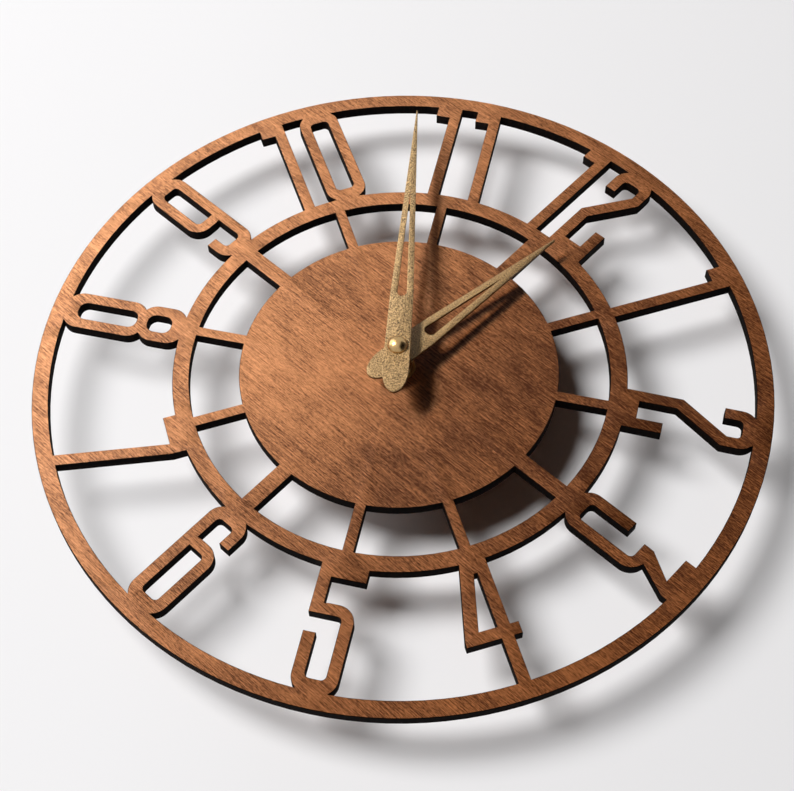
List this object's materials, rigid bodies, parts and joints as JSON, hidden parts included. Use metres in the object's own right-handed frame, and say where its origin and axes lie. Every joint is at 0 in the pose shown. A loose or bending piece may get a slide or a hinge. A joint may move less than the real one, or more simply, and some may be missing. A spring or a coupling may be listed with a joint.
{
  "type": "wall clock",
  "caption": "Round fretwork plywood wall clock: pierced dial with cut-out numerals, slotted gold hands, domed nut, and a battery quartz movement with a hanger behind.",
  "frame": {"origin": "on the arbor axis, in the plane of the movement's back, which is the clock's lowest face as it lies", "axes": "+Z out of the dial towards the reader, +Y towards twelve o'clock, +X towards three o'clock"},
  "size_m": [0.3, 0.3, 0.0418],
  "materials": {
    "walnut_ply": "walnut-stained, oiled, laser-charred edges",
    "gold_hands": "matt wrinkled gold",
    "polished_brass": "polished",
    "turned_brass": "turned",
    "plated_steel": "nickel plated",
    "black_rubber": "matt",
    "black_case": "fine texture",
    "black_knob": "satin",
    "black_wheel": "satin",
    "natural_plastic": "satin",
    "cell_jacket": "plain printed jacket",
    "contact_strip": "nickel plated",
    "dark_ferrite": "ground",
    "lamination_steel": "stamped",
    "copper_wire": "enamelled copper",
    "green_board": "solder mask",
    "black_resin": "glossy blob"
  },
  "bodies": {
    "clock_body": {"dial_plate": "walnut_ply", "hex_nut": "turned_brass", "threaded_bushing": "turned_brass", "dial_washer": "plated_steel", "rubber_gasket": "black_rubber", "front_case": "black_case", "back_case": "black_case", "battery": "cell_jacket", "positive_contact": "contact_strip", "negative_contact": "contact_strip", "train_plate": "natural_plastic", "stator": "lamination_steel", "coil_core": "lamination_steel", "coil_bobbin": "natural_plastic", "coil_winding": "copper_wire", "circuit_board": "green_board", "chip_blob": "black_resin", "crystal_can": "plated_steel"},
    "minute_set": {"minute_arbor": "turned_brass", "minute_hand": "gold_hands", "cap_nut": "polished_brass"},
    "hour_set": {"hour_wheel": "black_wheel", "hour_hand": "gold_hands"},
    "motion_work": {"motion_wheel": "natural_plastic"},
    "knob": {"setting_knob": "black_knob"},
    "rotor": {"rotor_pinion": "natural_plastic", "rotor_magnet": "dark_ferrite"},
    "intermediate": {"intermediate_wheel": "natural_plastic"},
    "seconds": {"seconds_wheel": "natural_plastic"},
    "third": {"third_wheel": "natural_plastic"},
    "centre": {"centre_wheel": "natural_plastic"}
  },
  "joints": [
    {"name": "minute_turn", "type": "hinge", "parent": "clock_body", "child": "minute_set", "pos_m": [0, 0, 0.0376], "axis": [0, 0, -1], "continuous": true},
    {"name": "hour_turn", "type": "hinge", "parent": "clock_body", "child": "hour_set", "pos_m": [0, 0, 0.0315], "axis": [0, 0, -1], "continuous": true},
    {"name": "motion_turn", "type": "hinge", "parent": "clock_body", "child": "motion_work", "pos_m": [0.0042, 0.00727, 0.0105], "axis": [0, 0, -1], "continuous": true},
    {"name": "knob_turn", "type": "hinge", "parent": "clock_body", "child": "knob", "pos_m": [0.00637, 0.01539, 0.0016], "axis": [0, 0, -1], "continuous": true},
    {"name": "rotor_turn", "type": "hinge", "parent": "clock_body", "child": "rotor", "pos_m": [-0.01308, 0.00755, 0.006], "axis": [0, 0, -1], "continuous": true},
    {"name": "intermediate_turn", "type": "hinge", "parent": "clock_body", "child": "intermediate", "pos_m": [-0.00788, 0.00455, 0.0041], "axis": [0, 0, -1], "continuous": true},
    {"name": "seconds_turn", "type": "hinge", "parent": "clock_body", "child": "seconds", "pos_m": [0, 0, 0.0029], "axis": [0, 0, -1], "continuous": true},
    {"name": "third_turn", "type": "hinge", "parent": "clock_body", "child": "third", "pos_m": [0.009, 0, 0.0053], "axis": [0, 0, -1], "continuous": true},
    {"name": "centre_turn", "type": "hinge", "parent": "clock_body", "child": "centre", "pos_m": [0, 0, 0.0071], "axis": [0, 0, -1], "continuous": true}
  ],
  "couplings": [
    {"joint": "hour_turn", "follows": "minute_turn", "ratio": 0.083333},
    {"joint": "motion_turn", "follows": "minute_turn", "ratio": -0.33333},
    {"joint": "knob_turn", "follows": "minute_turn", "ratio": 1},
    {"joint": "intermediate_turn", "follows": "rotor_turn", "ratio": -0.2},
    {"joint": "seconds_turn", "follows": "rotor_turn", "ratio": 0.033333},
    {"joint": "third_turn", "follows": "rotor_turn", "ratio": -0.0044444},
    {"joint": "centre_turn", "follows": "rotor_turn", "ratio": 0.00055556}
  ]
}
